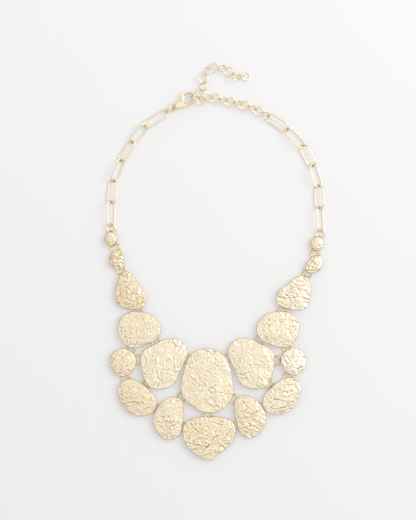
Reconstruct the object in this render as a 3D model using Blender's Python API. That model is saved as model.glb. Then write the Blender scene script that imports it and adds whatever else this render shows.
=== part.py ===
# Bib necklace of hammered gold-tone nuggets, lying clasped on a table.
# Nuggets hang together by flat jump rings behind them, on two paperclip chains,
# a lobster clasp and an extender chain. Metres, +Z up, neck opening towards +Y.

import math

import bmesh
import bpy
from mathutils import Matrix, Vector

# Bib
bib_width = 0.123
plate_thickness = 0.0013
plate_dome = 0.0008
relief_height = 0.0003
relief_pitch = 0.0042

# Jump rings and the cast eyes that hold them behind the nuggets
ring_radius = 0.00245
ring_wire = 0.0009
ring_clearance = 0.0003
eye_leg = 0.0006
eye_width = 0.0012
eye_foot = 0.0006
eye_bite = 0.0003

# Paperclip chain
link_width = 0.005
link_wire = 0.001
link_bite = 0.00016
loose_gap = 0.00025

# Extender chain
extender_radius = 0.00245
extender_wire = 0.00085
extender_bite = 0.0001
extender_tilt = 44.0
tail_link_radius = 0.0015
tail_link_wire = 0.0007
tail_link_tilt = 58.0
tail_link_drop = 0.0005
end_ring_radius = 0.0023
end_ring_wire = 0.001
end_ring_slope = 0.22

# Lobster clasp
clasp_length = 0.0158
clasp_thickness = 0.0022
clasp_turn = 22.9
clasp_place = Vector((-0.0245, 0.0851, 0.0))
hook_tilt = 60.0
pocket_height = 0.0012
lever_thickness = 0.0007
pin_radius = 0.00045
pin_clearance = 0.0002

back_height = eye_foot + 2 * ring_clearance + ring_wire + 0.0001
ring_height = eye_foot + ring_clearance + ring_wire / 2
clasp_height = extender_radius * math.sin(math.radians(hook_tilt)) + extender_wire / 2
extender_height = extender_radius * math.sin(math.radians(extender_tilt)) + extender_wire / 2

# Reach from the middle in thousandths of bib_width, at each hour of a clock face
shapes = {
    "bead": (34, 33, 32, 31, 31, 32, 34, 33, 31, 31, 31, 34),
    "nugget": (47, 46, 36, 32, 36, 46, 46, 38, 35, 36, 36, 40),
    "teardrop": (98, 65, 51, 55, 77, 96, 83, 79, 78, 69, 67, 77),
    "wedge": (73, 91, 78, 67, 73, 82, 75, 80, 96, 84, 62, 59),
    "oval": (81, 85, 91, 98, 93, 77, 81, 94, 94, 97, 101, 91),
    "round": (64, 61, 60, 59, 58, 61, 66, 64, 61, 60, 64, 63),
    "shield": (108, 128, 126, 93, 85, 104, 115, 123, 107, 103, 109, 97),
    "bean": (77, 66, 66, 83, 100, 94, 83, 75, 73, 80, 97, 98),
    "pear": (90, 100, 77, 66, 71, 94, 102, 89, 77, 72, 68, 75),
    "centre": (149, 141, 122, 116, 134, 146, 143, 133, 131, 117, 118, 144),
    "point": (91, 106, 129, 118, 96, 90, 107, 102, 107, 118, 128, 105),
}

# Name, shape, mirrored or not, middle as shares of bib_width, turn and grain in degrees
plates = (
    ("left_bead", "bead", 1, -0.472, 0.100, 0, 20),
    ("left_nugget", "nugget", 1, -0.445, 0.004, 12, 50),
    ("left_teardrop", "teardrop", 1, -0.386, -0.139, 12, -20),
    ("left_oval", "oval", 1, -0.343, -0.311, 0, 80),
    ("left_round", "round", 1, -0.415, -0.460, 0, 30),
    ("left_shield", "shield", 1, -0.234, -0.466, 0, 85),
    ("left_bean", "bean", 1, -0.355, -0.620, 0, -10),
    ("left_pear", "pear", 1, -0.209, -0.711, 0, 70),
    ("centre_nugget", "centre", 1, -0.035, -0.546, 0, 60),
    ("point_nugget", "point", 1, -0.026, -0.799, 0, 5),
    ("right_pear", "pear", -1, 0.159, -0.702, 6, -20),
    ("right_bean", "bean", -1, 0.306, -0.614, 0, 10),
    ("right_shield", "shield", -1, 0.168, -0.465, 0, 50),
    ("right_round", "round", -1, 0.356, -0.456, 0, -25),
    ("right_oval", "oval", -1, 0.286, -0.310, 0, 55),
    ("right_teardrop", "wedge", 1, 0.367, -0.148, 0, -12),
    ("right_nugget", "nugget", -1, 0.452, -0.018, -42, 20),
    ("right_bead", "bead", -1, 0.463, 0.078, 0, 30),
)

# The two nuggets that a jump ring joins, and its middle as shares of bib_width
joints = (
    ("left_bead", "left_nugget", -0.452, 0.059),
    ("left_nugget", "left_teardrop", -0.425, -0.043),
    ("left_teardrop", "left_oval", -0.350, -0.226),
    ("left_oval", "left_round", -0.383, -0.402),
    ("left_oval", "left_shield", -0.267, -0.368),
    ("left_round", "left_shield", -0.346, -0.449),
    ("left_round", "left_bean", -0.405, -0.530),
    ("left_shield", "left_bean", -0.306, -0.557),
    ("left_bean", "left_pear", -0.266, -0.671),
    ("left_shield", "centre_nugget", -0.127, -0.444),
    ("left_pear", "centre_nugget", -0.149, -0.618),
    ("left_pear", "point_nugget", -0.146, -0.756),
    ("centre_nugget", "point_nugget", -0.031, -0.697),
    ("right_shield", "centre_nugget", 0.057, -0.443),
    ("right_pear", "centre_nugget", 0.086, -0.626),
    ("right_pear", "point_nugget", 0.102, -0.747),
    ("right_bean", "right_pear", 0.224, -0.660),
    ("right_shield", "right_bean", 0.247, -0.560),
    ("right_round", "right_shield", 0.281, -0.453),
    ("right_round", "right_bean", 0.334, -0.524),
    ("right_oval", "right_round", 0.330, -0.394),
    ("right_oval", "right_shield", 0.205, -0.358),
    ("right_teardrop", "right_oval", 0.307, -0.224),
    ("right_nugget", "right_teardrop", 0.420, -0.056),
    ("right_bead", "right_nugget", 0.456, 0.034),
)

# Top rings: the bead that each hooks, and its middle as shares of bib_width
top_rings = {"left": ("left_bead", -0.471, 0.151), "right": ("right_bead", 0.482, 0.124)}

# Routes in millimetres, chosen from clasp to bead, and the tilt of each link in degrees
left_route = ((-39.0, 75.5), (-46.2, 66.6), (-52.4, 56.3), (-56.6, 44.8), (-58.0, 33.0))
right_route = ((40.4, 73.5), (49.3, 64.2), (54.8, 53.4), (58.1, 41.8), (58.4, 29.8))
right_start = Vector((0.0300, 0.0807, 0.0))
left_tilts = (25, -32, 32, -40, 27, -36)
right_tilts = (24, -24, 22, -30, 29, -46)
worn_route = ((-2.2, 91.2), (5.7, 89.5), (13.6, 87.8), (21.4, 85.2))
tail_route = (
    (-6.4, 98.0), (-6.1, 103.3), (-3.2, 107.0), (1.0, 108.2), (5.4, 107.6), (8.8, 105.0),
    (11.6, 103.0),
)

end_ring_place = (17.4, 103.5)

# Where the worn chain and the tail leave the hooked ring, in degrees around it, and each one's way
worn_leaves = -20.0
worn_way = Vector((0.82, -0.38, -0.42))
tail_leaves = 35.0
tail_way = Vector((0.5, 0.84, 0.2))

# Clasp outlines as shares of clasp_length, along the clasp and across it
body_outline = (
    (0.10, -0.115), (0.20, -0.09), (0.33, -0.115), (0.46, -0.15), (0.57, -0.165), (0.69, -0.16),
    (0.81, -0.125), (0.91, -0.045), (0.97, 0.05), (0.985, 0.14), (0.94, 0.22), (0.85, 0.28),
    (0.75, 0.305), (0.675, 0.29), (0.66, 0.24), (0.75, 0.235), (0.84, 0.205), (0.888, 0.135),
    (0.883, 0.055), (0.83, -0.03), (0.73, -0.075), (0.62, -0.08), (0.55, -0.06), (0.535, 0.0),
    (0.51, 0.08), (0.45, 0.14), (0.36, 0.15), (0.27, 0.13), (0.20, 0.09), (0.10, 0.115),
    (0.04, 0.095), (0.0, 0.04), (-0.01, -0.03), (0.03, -0.09),
)
eye_middle = Vector((0.105, 0.0))
eye_hole = 0.073
lever_outline = (
    (0.385, -0.02), (0.405, -0.07), (0.45, -0.085), (0.495, -0.055), (0.52, 0.02), (0.56, 0.12),
    (0.60, 0.21), (0.625, 0.27), (0.60, 0.295), (0.575, 0.31), (0.555, 0.36), (0.535, 0.41),
    (0.505, 0.42), (0.49, 0.38), (0.495, 0.30), (0.455, 0.24), (0.42, 0.14), (0.40, 0.05),
)
lever_pivot = Vector((0.44, -0.02))
pocket_span = (0.30, 0.565, -0.108, 0.45)
hooked_point = Vector((0.932, 0.045))
hooked_turn = -8.0

plate_sides = 22
bead_sides = 14
ring_sides = 12
link_arc_sides = 5
extender_sides = 10
wire_sides = 5


def clear_scene():
    for obj in list(bpy.data.objects):
        bpy.data.objects.remove(obj, do_unlink=True)


def make_collections():
    necklace = bpy.data.collections.new("bib_necklace")
    cutters = bpy.data.collections.new("cutters")
    bpy.context.scene.collection.children.link(necklace)
    bpy.context.scene.collection.children.link(cutters)
    return necklace, cutters


def gold(name, colour, roughness):
    material = bpy.data.materials.new(name)
    material.use_nodes = True
    shader = material.node_tree.nodes["Principled BSDF"]
    shader.inputs["Base Color"].default_value = (*colour, 1)
    shader.inputs["Metallic"].default_value = 1
    shader.inputs["Roughness"].default_value = roughness
    material.diffuse_color = (*colour, 1)
    return material


def add_object(name, bm, material, collection, place=Vector()):
    bmesh.ops.recalc_face_normals(bm, faces=bm.faces)
    mesh = bpy.data.meshes.new(name)
    bm.to_mesh(mesh)
    bm.free()
    obj = bpy.data.objects.new(name, mesh)
    obj.location = place
    if material:
        mesh.materials.append(material)
    collection.objects.link(obj)
    return obj


def add_helper(name, bm, cutters):
    helper = add_object(name, bm, None, cutters)
    helper.hide_render = True
    helper.display_type = "WIRE"
    return helper


def combine(obj, helper, operation):
    boolean = obj.modifiers.new(helper.name, "BOOLEAN")
    boolean.operation = operation
    boolean.solver = "EXACT"
    boolean.object = helper


def bib_point(x_share, y_share):
    return Vector((x_share * bib_width, y_share * bib_width, 0))


def plan_point(point):
    return Vector((point[0] / 1000, point[1] / 1000, 0))


def smooth_step(a, b, c, d, t):
    # Catmull-Rom curve from b to c
    return b + 0.5 * t * (c - a + t * (2 * a - 5 * b + 4 * c - d + t * (3 * (b - c) + d - a)))


def reach(shape, clock):
    row = shapes[shape]
    hours = len(row)
    first = math.floor(clock * hours)
    near = [row[(first + step) % hours] for step in (-1, 0, 1, 2)]
    return smooth_step(*near, clock * hours - first) * bib_width / 1000


def relief(x, y, grain):
    # Crossed waves along and across the grain, like hammered and folded foil
    along = x * math.cos(math.radians(grain)) + y * math.sin(math.radians(grain))
    across = y * math.cos(math.radians(grain)) - x * math.sin(math.radians(grain))
    folds = math.sin(2 * math.pi * across / relief_pitch + 0.9 * math.sin(3 * along / relief_pitch))
    dents = math.sin(4.1 * along / relief_pitch) * math.cos(2.7 * across / relief_pitch)
    return relief_height * (0.65 * folds + 0.35 * dents)


def plate_loops():
    # Share of the reach and height above the back, from the back's edge over the rim to the dome
    return (
        (0.97, 0.0),
        (1.0, 0.4 * plate_thickness),
        (0.985, 0.85 * plate_thickness),
        (0.90, plate_thickness),
        (0.66, plate_thickness),
        (0.34, plate_thickness),
    )


def plate_mesh(shape, mirrored, grain):
    sides = bead_sides if shape in ("bead", "nugget") else plate_sides
    bm = bmesh.new()
    loops = []
    for share, height in plate_loops():
        loop = []
        for side in range(sides):
            clock = side / sides
            angle = math.radians(90) - mirrored * 2 * math.pi * clock
            x = share * reach(shape, clock) * math.cos(angle)
            y = share * reach(shape, clock) * math.sin(angle)
            z = back_height + height
            if height == plate_thickness:
                z += plate_dome * (1 - share ** 2) + relief(x, y, grain)
            loop.append(bm.verts.new((x, y, z)))
        loops.append(loop)
    for lower, upper in zip(loops, loops[1:]):
        for side in range(sides):
            after = (side + 1) % sides
            bm.faces.new((lower[side], lower[after], upper[after], upper[side]))
    crown = bm.verts.new((0, 0, back_height + plate_thickness + plate_dome + relief(0, 0, grain)))
    for side in range(sides):
        bm.faces.new((loops[-1][side], loops[-1][(side + 1) % sides], crown))
    bm.faces.new(reversed(loops[0]))
    return bm


def add_block(bm, place, towards, length, width, low, high):
    size = Matrix.Diagonal((length, width, high - low, 1))
    turn = Matrix.Rotation(math.atan2(towards.y, towards.x), 4, "Z")
    centre = Matrix.Translation((place.x, place.y, (low + high) / 2))
    bmesh.ops.create_cube(bm, size=1, matrix=centre @ turn @ size)


def add_plates(eyes, material, necklace, cutters):
    tunnel = ring_wire + 2 * ring_clearance
    for name, shape, mirrored, x_share, y_share, turn, grain in plates:
        middle = bib_point(x_share, y_share)
        bm = plate_mesh(shape, mirrored, grain - turn)
        plate = add_object(name, bm, material, necklace, middle)
        plate.rotation_euler.z = math.radians(turn)
        blocks = bmesh.new()
        tunnels = bmesh.new()
        for place, towards in eyes[name]:
            length = tunnel + 2 * eye_leg
            add_block(blocks, place, towards, length, eye_width, 0, back_height + eye_bite)
            add_block(tunnels, place, towards, tunnel, 2 * eye_width, eye_foot, eye_foot + tunnel)
        combine(plate, add_helper(name + "_eyes", blocks, cutters), "UNION")
        combine(plate, add_helper(name + "_tunnels", tunnels, cutters), "DIFFERENCE")


def add_wire_loop(bm, centreline, normal, wire):
    # Wire of wire_sides along a closed flat centreline
    rings = []
    for index, point in enumerate(centreline):
        ahead = centreline[(index + 1) % len(centreline)] - centreline[index - 1]
        side = normal.cross(ahead).normalized()
        ring = []
        for step in range(wire_sides):
            angle = 2 * math.pi * step / wire_sides
            offset = side * math.cos(angle) + normal * math.sin(angle)
            ring.append(bm.verts.new(point + offset * wire / 2))
        rings.append(ring)
    for index, ring in enumerate(rings):
        following = rings[(index + 1) % len(rings)]
        for step in range(wire_sides):
            after = (step + 1) % wire_sides
            bm.faces.new((ring[step], following[step], following[after], ring[after]))


def tilted_frame(along, tilt):
    along = along.normalized()
    level = Vector((-along.y, along.x, 0)).normalized()
    raised = along.cross(level)
    across = level * math.cos(math.radians(tilt)) + raised * math.sin(math.radians(tilt))
    return along, across, along.cross(across)


def add_round_ring(bm, middle, along, tilt, radius, wire, sides):
    along, across, normal = tilted_frame(along, tilt)
    centreline = []
    for side in range(sides):
        angle = 2 * math.pi * side / sides
        centreline.append(middle + (along * math.cos(angle) + across * math.sin(angle)) * radius)
    add_wire_loop(bm, centreline, normal, wire)


def on_ring(middle, along, tilt, degrees):
    along, across, _ = tilted_frame(along, tilt)
    angle = math.radians(degrees)
    return middle + (along * math.cos(angle) + across * math.sin(angle)) * extender_radius


def add_long_link(bm, start, end, tilt):
    # Straight sides and half-round ends, each end past its neighbour's wire
    along, across, normal = tilted_frame(end - start, tilt)
    radius = link_width / 2
    half = ((end - start).length + link_wire - link_bite) / 2 - radius
    middle = (start + end) / 2
    centreline = []
    for sign in (1, -1):
        for step in range(link_arc_sides + 1):
            angle = math.pi * (step / link_arc_sides - 0.5)
            offset = along * (half + radius * math.cos(angle)) + across * radius * math.sin(angle)
            centreline.append(middle + offset * sign)
    add_wire_loop(bm, centreline, normal, link_wire)


def fuse(name, links, material, necklace, cutters):
    # Every other link in one mesh, the links between them in a second, then one union
    odd = bmesh.new()
    even = bmesh.new()
    for index, link in enumerate(links):
        link(even if index % 2 else odd)
    chain = add_object(name, odd, material, necklace)
    combine(chain, add_helper(name + "_between", even, cutters), "UNION")
    return chain


def at_height(point, height):
    return Vector((point.x, point.y, height))


def link_height(tilts):
    # Middle height at which the steepest link just touches the table
    steepest = max(abs(tilt) for tilt in tilts)
    return link_width / 2 * math.sin(math.radians(steepest)) + link_wire / 2


def end_slip(height, tilt):
    # How far a tilted link's end slides on over a level ring that lies lower than its middle
    drop = (height - ring_height) / math.sin(math.radians(abs(tilt)))
    level = drop * math.cos(math.radians(tilt))
    around_end = link_width / 2 - math.sqrt((link_width / 2) ** 2 - drop ** 2)
    around_ring = ring_radius - math.sqrt(ring_radius ** 2 - level ** 2)
    return around_end + around_ring


def spaced_along(route, pitch_target):
    # Points at one pitch along a smooth curve through the route
    before_first = route[0] + (route[0] - route[1])
    past_last = route[-1] + (route[-1] - route[-2])
    knots = [before_first, *route, past_last]
    fine = []
    for index in range(1, len(knots) - 2):
        for step in range(40):
            fine.append(smooth_step(*knots[index - 1:index + 3], step / 40))
    fine.append(route[-1])
    lengths = [0]
    for first, second in zip(fine, fine[1:]):
        lengths.append(lengths[-1] + (second - first).length)
    count = max(1, math.floor(lengths[-1] / pitch_target))
    spots = []
    for index in range(count + 1):
        target = lengths[-1] * index / count
        after = next((i for i, length in enumerate(lengths) if length >= target), len(fine) - 1)
        before = max(after - 1, 0)
        span = lengths[after] - lengths[before]
        share = (target - lengths[before]) / span if span else 0
        spots.append(fine[before].lerp(fine[after], share))
    return spots


def ring_row(spots, first_tilt, second_tilt, last_ahead=None):
    # One round ring for each spot, tilted by turns
    links = []
    for index, spot in enumerate(spots):
        before = spots[max(index - 1, 0)]
        after = spots[min(index + 1, len(spots) - 1)]
        along = after - before
        if last_ahead is not None and index == len(spots) - 1:
            along = last_ahead
        tilt = second_tilt if index % 2 else first_tilt

        def link(bm, spot=spot, along=along, tilt=tilt):
            add_round_ring(bm, spot, along, tilt, extender_radius, extender_wire, extender_sides)

        links.append(link)
    return links


def clasp_point(share):
    turn = math.radians(clasp_turn)
    x = share.x * math.cos(turn) - share.y * math.sin(turn)
    y = share.x * math.sin(turn) + share.y * math.cos(turn)
    return clasp_place + Vector((x, y, 0)) * clasp_length


def add_paperclip_chain(side, start, knots, tilts, first_links, middles, eyes, material, necklace, cutters):
    bead, x_share, y_share = top_rings[side]
    ring_middle = bib_point(x_share, y_share)
    from_bead = (ring_middle - middles[bead]).normalized()
    height = link_height(tilts)
    last_knot = plan_point(knots[-1])
    upwards = (last_knot - ring_middle).normalized()
    overlap = (ring_wire - link_bite) / 2
    slip = end_slip(height, tilts[-1])
    top = ring_middle + upwards * (ring_radius - overlap - slip)
    points = [start, *(plan_point(knot) for knot in knots), top]
    points = [at_height(point, height) for point in points]
    eyes[bead].append((ring_middle - from_bead * ring_radius, from_bead))
    links = list(first_links)
    for first, second, tilt in zip(points, points[1:], tilts):
        links.append(lambda bm, a=first, b=second, t=tilt: add_long_link(bm, a, b, t))

    def top_ring(bm):
        middle = at_height(ring_middle, ring_height)
        add_round_ring(bm, middle, upwards, 0, ring_radius, ring_wire, ring_sides)

    links.append(top_ring)
    fuse("paperclip_chain_" + side, links, material, necklace, cutters)


def flat_outline(name, points, place, thickness, holes, material, collection):
    # Smooth closed outline, filled and given a thickness about its own middle
    curve = bpy.data.curves.new(name, "CURVE")
    curve.dimensions = "2D"
    curve.fill_mode = "BOTH"
    curve.extrude = thickness / 2
    spline = curve.splines.new("POLY")
    spline.points.add(len(points) - 1)
    spline.use_cyclic_u = True
    for target, (x, y) in zip(spline.points, points):
        target.co = (x * clasp_length - place.x, y * clasp_length - place.y, 0, 1)
    for middle, radius in holes:
        hole = curve.splines.new("POLY")
        hole.points.add(ring_sides - 1)
        hole.use_cyclic_u = True
        for index, target in enumerate(hole.points):
            angle = 2 * math.pi * index / ring_sides
            x = middle.x * clasp_length + radius * math.cos(angle) - place.x
            y = middle.y * clasp_length + radius * math.sin(angle) - place.y
            target.co = (x, y, 0, 1)
    source = bpy.data.objects.new(name + "_outline", curve)
    collection.objects.link(source)
    bpy.context.view_layer.update()
    mesh = bpy.data.meshes.new_from_object(source)
    bpy.data.objects.remove(source, do_unlink=True)
    bm = bmesh.new()
    bm.from_mesh(mesh)
    bpy.data.meshes.remove(mesh)
    bmesh.ops.remove_doubles(bm, verts=bm.verts, dist=1e-6)
    return add_object(name, bm, material, collection)


def add_clasp(material, lever_material, necklace, cutters):
    turn = math.radians(clasp_turn)
    body_place = at_height(clasp_place, clasp_height)
    holes = [(eye_middle, eye_hole * clasp_length)]
    body = flat_outline(
        "clasp_body", body_outline, Vector((0, 0)), clasp_thickness, holes, material, necklace
    )
    body.location = body_place
    body.rotation_euler.z = turn

    low_u, high_u, low_v, high_v = (share * clasp_length for share in pocket_span)
    pocket = bmesh.new()
    middle = Vector(((low_u + high_u) / 2, (low_v + high_v) / 2, 0))
    half = pocket_height / 2
    add_block(pocket, middle, Vector((1, 0)), high_u - low_u, high_v - low_v, -half, half)
    cutter = add_helper("clasp_pocket", pocket, cutters)
    pin = bmesh.new()
    bmesh.ops.create_cone(
        pin, cap_ends=True, segments=10, radius1=pin_radius, radius2=pin_radius,
        depth=(clasp_thickness + pocket_height) / 2,
        matrix=Matrix.Translation((lever_pivot.x * clasp_length, lever_pivot.y * clasp_length, 0)),
    )
    pin_helper = add_helper("clasp_pin", pin, cutters)
    for helper in (cutter, pin_helper):
        helper.location = body_place
        helper.rotation_euler.z = turn
    combine(body, cutter, "DIFFERENCE")
    combine(body, pin_helper, "UNION")

    hinge = bpy.data.objects.new("lever_hinge", None)
    hinge.location = at_height(clasp_point(lever_pivot), clasp_height)
    hinge.rotation_euler.z = turn
    necklace.objects.link(hinge)
    pivot = lever_pivot * clasp_length
    holes = [(lever_pivot, pin_radius + pin_clearance)]
    lever = flat_outline(
        "clasp_lever", lever_outline, pivot, lever_thickness, holes, lever_material, necklace
    )
    lever.parent = hinge


def centre_on_table(necklace, cutters):
    # Origin under the middle of the whole necklace, measured with its Booleans done
    bpy.context.view_layer.update()
    depsgraph = bpy.context.evaluated_depsgraph_get()
    points = []
    for obj in necklace.objects:
        if obj.type == "MESH":
            mesh = obj.evaluated_get(depsgraph).data
            points.extend(obj.matrix_world @ vertex.co for vertex in mesh.vertices)
    middle = Vector((0, 0, 0))
    for axis in (0, 1):
        places = [point[axis] for point in points]
        middle[axis] = (min(places) + max(places)) / 2
    for obj in (*necklace.objects, *cutters.objects):
        if obj.parent is None:
            obj.location -= middle
    return middle


def main():
    clear_scene()
    necklace, cutters = make_collections()
    plate_gold = gold("nugget gold", (0.86, 0.73, 0.47), 0.3)
    ring_gold = gold("ring gold", (0.84, 0.64, 0.30), 0.22)
    chain_gold = gold("chain gold", (0.86, 0.70, 0.42), 0.2)
    clasp_gold = gold("clasp gold", (0.88, 0.74, 0.48), 0.2)
    lever_gold = gold("lever gold", (0.84, 0.68, 0.40), 0.22)
    end_gold = gold("end ring gold", (0.90, 0.80, 0.60), 0.2)

    middles = {row[0]: bib_point(row[3], row[4]) for row in plates}
    eyes = {row[0]: [] for row in plates}
    for first, second, x_share, y_share in joints:
        middle = bib_point(x_share, y_share)
        towards = (middles[second] - middles[first]).normalized()
        eyes[first].append((middle - towards * ring_radius, towards))
        eyes[second].append((middle + towards * ring_radius, towards))
        name = "ring_" + first + "_" + second
        ring = bmesh.new()
        add_round_ring(ring, Vector(), towards, 0, ring_radius, ring_wire, ring_sides)
        add_object(name, ring, ring_gold, necklace, at_height(middle, ring_height))

    eye = clasp_point(eye_middle)
    back = (plan_point(left_route[0]) - eye).normalized()
    clasp_ring = at_height(eye + back * extender_radius, clasp_height)
    overlap = (extender_wire - link_bite) / 2
    left_start = clasp_ring + back * (extender_radius - overlap)

    def clasp_link(bm):
        add_round_ring(bm, clasp_ring, back, -hook_tilt, extender_radius, extender_wire, ring_sides)

    add_paperclip_chain(
        "left", left_start, left_route, left_tilts, [clasp_link], middles, eyes,
        chain_gold, necklace, cutters,
    )
    add_paperclip_chain(
        "right", right_start, right_route, right_tilts, [], middles, eyes,
        chain_gold, necklace, cutters,
    )
    add_plates(eyes, plate_gold, necklace, cutters)

    turn = math.radians(hooked_turn)
    hook_way = Vector((math.cos(turn), math.sin(turn), 0))
    hooked = at_height(clasp_point(hooked_point), clasp_height)
    pitch = 2 * extender_radius - extender_wire + extender_bite
    seat = extender_radius - extender_wire + extender_bite
    worn_first = on_ring(hooked, hook_way, -hook_tilt, worn_leaves) + worn_way * seat
    tail_first = on_ring(hooked, hook_way, -hook_tilt, tail_leaves) + tail_way * seat
    loose = (extender_wire + link_bite) / 2 + loose_gap
    link_way = (plan_point(right_route[0]) - right_start).normalized()
    worn_last = right_start - link_way * (extender_radius - loose)
    worn = [worn_first, *(at_height(plan_point(p), extender_height) for p in worn_route)]
    worn.append(at_height(worn_last, extender_height))
    tail = [tail_first, *(at_height(plan_point(p), extender_height) for p in tail_route)]
    worn_spots = spaced_along(worn, pitch)
    tail_spots = spaced_along(tail, pitch)

    def hooked_ring(bm):
        add_round_ring(bm, hooked, hook_way, -hook_tilt, extender_radius, extender_wire, ring_sides)

    worn_links = ring_row(worn_spots, 8, -extender_tilt, link_way)
    tail_links = ring_row(tail_spots, 12, -extender_tilt)
    end_way = plan_point(end_ring_place) - tail_spots[-1]
    end_way = at_height(end_way, 0).normalized()
    link_step = extender_radius + tail_link_radius + extender_bite - (extender_wire + tail_link_wire) / 2
    link_place = tail_spots[-1] + end_way * link_step

    def tail_link(bm):
        low = tail_link_radius * math.sin(math.radians(tail_link_tilt)) + tail_link_wire / 2
        middle = at_height(link_place, max(low, extender_height - tail_link_drop))
        add_round_ring(bm, middle, end_way, tail_link_tilt, tail_link_radius, tail_link_wire, extender_sides)

    links = list(reversed(worn_links)) + [hooked_ring] + tail_links + [tail_link]
    fuse("extender_chain", links, chain_gold, necklace, cutters)

    end_step = tail_link_radius + end_ring_radius - (tail_link_wire + end_ring_wire) / 2 - loose_gap
    end_way.z = -end_ring_slope
    end_place = link_place + end_way * end_step
    end_place.z = end_ring_wire / 2 + end_ring_radius * end_ring_slope / end_way.length
    end_ring = bmesh.new()
    add_round_ring(end_ring, Vector(), end_way, 0, end_ring_radius, end_ring_wire, ring_sides)
    add_object("end_ring", end_ring, end_gold, necklace, end_place)

    add_clasp(clasp_gold, lever_gold, necklace, cutters)
    middle = centre_on_table(necklace, cutters)
    pivot = at_height(clasp_point(lever_pivot), clasp_height) - middle
    print("lever pivot", [round(value, 6) for value in pivot])
    print("middle", [round(value, 6) for value in middle])


main()
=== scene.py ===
import math
import bpy
import numpy as np
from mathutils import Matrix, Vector


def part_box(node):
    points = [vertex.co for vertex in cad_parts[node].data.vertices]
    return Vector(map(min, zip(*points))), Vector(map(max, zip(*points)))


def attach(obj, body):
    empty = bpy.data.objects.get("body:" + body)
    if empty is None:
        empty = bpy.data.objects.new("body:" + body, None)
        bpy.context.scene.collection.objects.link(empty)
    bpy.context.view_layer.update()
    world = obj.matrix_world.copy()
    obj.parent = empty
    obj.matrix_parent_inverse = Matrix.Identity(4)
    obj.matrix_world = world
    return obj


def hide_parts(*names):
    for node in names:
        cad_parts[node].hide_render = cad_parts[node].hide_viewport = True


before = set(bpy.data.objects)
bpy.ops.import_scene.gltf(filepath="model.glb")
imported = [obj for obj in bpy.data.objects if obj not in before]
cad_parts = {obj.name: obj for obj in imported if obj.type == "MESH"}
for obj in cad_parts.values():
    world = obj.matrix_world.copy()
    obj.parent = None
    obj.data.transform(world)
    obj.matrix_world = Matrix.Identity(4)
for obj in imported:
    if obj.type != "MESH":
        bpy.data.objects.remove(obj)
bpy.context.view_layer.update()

mm = 0.001
fullCircle = 2 * math.pi
upright = np.array([0, 0, 1.0])
print("frame loaded:", len(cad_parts), "nodes")


# numbers to meshes, lengths in millimetres

def meshPiece(name, node, points, faces, material, slot, body="necklace", paintedShades=None):
    # a piece that stands for one node; faces as a list of index arrays of one width each
    mesh = bpy.data.meshes.new(name)
    flat = [np.asarray(group, dtype=np.int32) for group in faces]
    loops = np.concatenate([group.ravel() for group in flat])
    sizes = np.concatenate([np.full(len(group), group.shape[1], dtype=np.int32) for group in flat])
    starts = np.concatenate([[0], np.cumsum(sizes)[:-1]]).astype(np.int32)
    mesh.vertices.add(len(points))
    mesh.vertices.foreach_set("co", (np.asarray(points, dtype=np.float32) * mm).ravel())
    mesh.loops.add(len(loops))
    mesh.loops.foreach_set("vertex_index", loops)
    mesh.polygons.add(len(sizes))
    mesh.polygons.foreach_set("loop_start", starts)
    mesh.polygons.foreach_set("loop_total", sizes)
    mesh.update(calc_edges=True)
    mesh.validate()
    # per-point painted shade and highlight, read by the finishes
    if paintedShades is not None:
        layer = mesh.attributes.new("paintedShade", "FLOAT", "POINT")
        layer.data.foreach_set("value", np.asarray(paintedShades, dtype=np.float32))
    mesh.shade_smooth()
    mesh.materials.append(material)
    piece = bpy.data.objects.new(name, mesh)
    bpy.context.scene.collection.objects.link(piece)
    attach(piece, body)
    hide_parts(node)


def gridFaces(rows, columns, closedRows=False, closedColumns=False, start=0):
    # quads between neighbouring rows and columns of a rows x columns grid of points
    i = np.arange(rows if closedRows else rows - 1)[:, None]
    j = np.arange(columns if closedColumns else columns - 1)[None, :]
    nextI = (i + 1) % rows
    nextJ = (j + 1) % columns
    quads = np.stack(np.broadcast_arrays(
        i * columns + j, nextI * columns + j, nextI * columns + nextJ, i * columns + nextJ), axis=-1)
    return quads.reshape(-1, 4) + start


def fanFaces(ring, centre):
    # triangles from the points of a ring to one point
    return np.stack([np.full(len(ring), centre), ring, np.roll(ring, -1)], axis=-1)


def joinParts(parts):
    # parts: (points, faces groups); one list of points, faces renumbered
    points, faces, count = [], [], 0
    for partPoints, partFaces in parts:
        points.append(partPoints)
        faces.extend(np.asarray(group) + count for group in partFaces)
        count += len(partPoints)
    return np.concatenate(points), faces


def unit(vector):
    vector = np.asarray(vector, dtype=float)
    return vector / np.linalg.norm(vector)


def curveSpans(a, b, c, d, perSpan):
    # Catmull-Rom: b + t/2 (c - a + t (2a - 5b + 4c - d + t (3 (b - c) + d - a))) for each row of knots
    t = np.linspace(0, 1, perSpan, endpoint=False)[None, :, None]
    a, b, c, d = (knots[:, None, :] for knots in (a, b, c, d))
    spans = b + 0.5 * t * (c - a + t * (2 * a - 5 * b + 4 * c - d + t * (3 * (b - c) + d - a)))
    return spans.reshape(-1, b.shape[-1])


def closedLine(knots, perSpan):
    # smooth curve through the knots and back to the first
    return curveSpans(*(np.roll(knots, shift, axis=0) for shift in (1, 0, -1, -2)), perSpan)


def openLine(knots, perSpan):
    # smooth curve from the first knot to the last, knots of any width
    knots = np.asarray(knots, dtype=float)
    knots = np.concatenate([[2 * knots[0] - knots[1]], knots, [2 * knots[-1] - knots[-2]]])
    spans = curveSpans(*(knots[k:len(knots) - 3 + k] for k in range(4)), perSpan)
    return np.concatenate([spans, knots[-2:-1]])


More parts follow.
